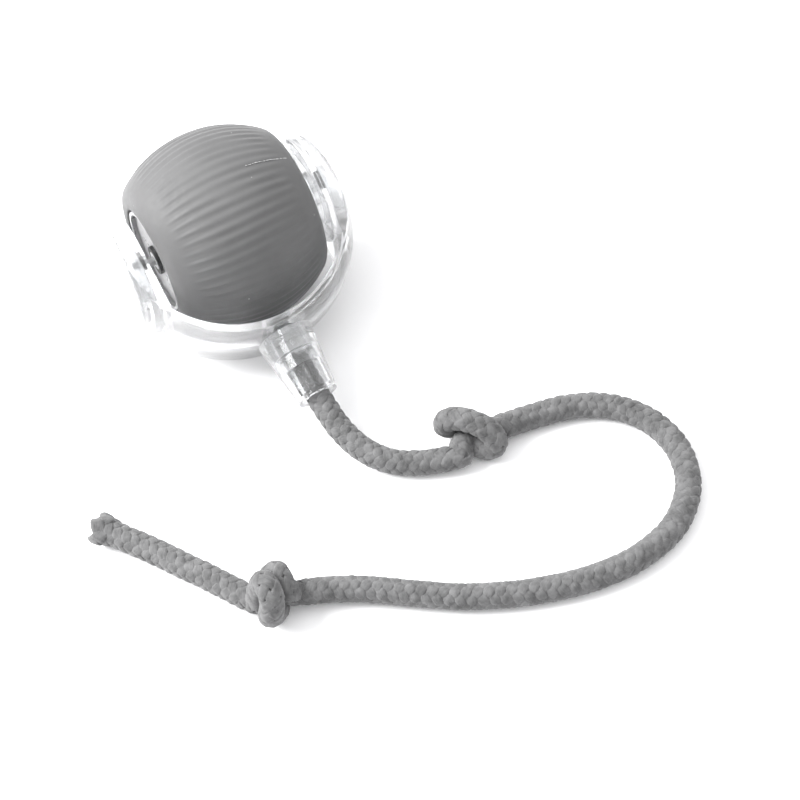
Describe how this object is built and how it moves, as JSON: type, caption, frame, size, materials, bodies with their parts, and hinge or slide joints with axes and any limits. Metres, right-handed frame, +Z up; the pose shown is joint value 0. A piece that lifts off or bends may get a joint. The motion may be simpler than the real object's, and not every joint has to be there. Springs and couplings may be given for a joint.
{
  "type": "self-rolling pet toy ball",
  "caption": "Motorised pet toy: a silicone-sleeved drum turns between the domed ends of a clear C-shaped yoke whose stem trails a knotted braided rope.",
  "frame": {"origin": "middle of the footprint of the ball and yoke, on the floor, without the rope", "axes": "+X along the drum axle, +Z up, the stem and rope trail towards -Y"},
  "size_m": [0.1655, 0.1882, 0.063],
  "materials": {
    "clear": "polished clear polycarbonate",
    "window": "lightly frosted polycarbonate",
    "silicone": "matte moulded silicone",
    "casing": "moulded ABS",
    "steel": "ground",
    "dark_steel": "blackened",
    "motor_steel": "plated",
    "washer": "matte",
    "seal": "matte",
    "bush": "acetal",
    "gear": "acetal",
    "brass": "machined",
    "carrier": "moulded ABS",
    "cell": "wrapped can",
    "board": "solder mask",
    "led": "diffused epoxy",
    "port": "plated",
    "switch": "moulded",
    "button": "moulded",
    "rope": "braided cotton"
  },
  "bodies": {
    "yoke": {"yoke_frame": "clear", "dome_cover_left": "clear", "dome_cover_right": "clear", "axle_left": "steel", "axle_right": "steel", "thrust_washer_left": "washer", "thrust_washer_right": "washer", "axle_clip": "steel", "sun_gear": "gear", "socket_insert": "clear", "cross_pin": "dark_steel", "rope_collar": "clear", "rope_root": "rope", "rope_lead": "rope", "knot_one": "rope", "rope_middle": "rope", "knot_two": "rope", "rope_tail": "rope"},
    "drum": {"battery": "cell", "bearing_left": "bush", "bearing_right": "bush", "button_board": "board", "charge_port": "port", "chassis_tray": "carrier", "circuit_board": "board", "gear_pin": "steel", "gear_plate": "carrier", "led_left": "led", "led_right": "led", "motor_can": "motor_steel", "motor_cap": "carrier", "motor_screws": "steel", "plate_screws": "steel", "seal_left": "seal", "seal_right": "seal", "shell_left": "casing", "shell_right": "casing", "sleeve": "silicone", "tact_switch": "switch", "window_left": "window", "window_right": "window"},
    "reduction_gear": {"reduction_gear": "gear"},
    "motor_pinion": {"motor_pinion": "brass"},
    "power_button": {"power_button": "button"}
  },
  "joints": [
    {"name": "drum_spin", "type": "hinge", "parent": "yoke", "child": "drum", "pos_m": [0, 0.0142, 0.0315], "axis": [1, 0, 0], "continuous": true},
    {"name": "reduction_gear_spin", "type": "hinge", "parent": "drum", "child": "reduction_gear", "pos_m": [0, 0.0142, 0.0435], "axis": [1, 0, 0], "continuous": true},
    {"name": "motor_spin", "type": "hinge", "parent": "drum", "child": "motor_pinion", "pos_m": [0, 0.0142, 0.0335], "axis": [1, 0, 0], "continuous": true},
    {"name": "power_button_press", "type": "slide", "parent": "drum", "child": "power_button", "axis": [0, 0, -1], "range_m": [0, 0.0006], "stiffness_N_per_m": 250}
  ],
  "couplings": [
    {"joint": "reduction_gear_spin", "follows": "drum_spin", "ratio": 3},
    {"joint": "motor_spin", "follows": "drum_spin", "ratio": -9}
  ]
}
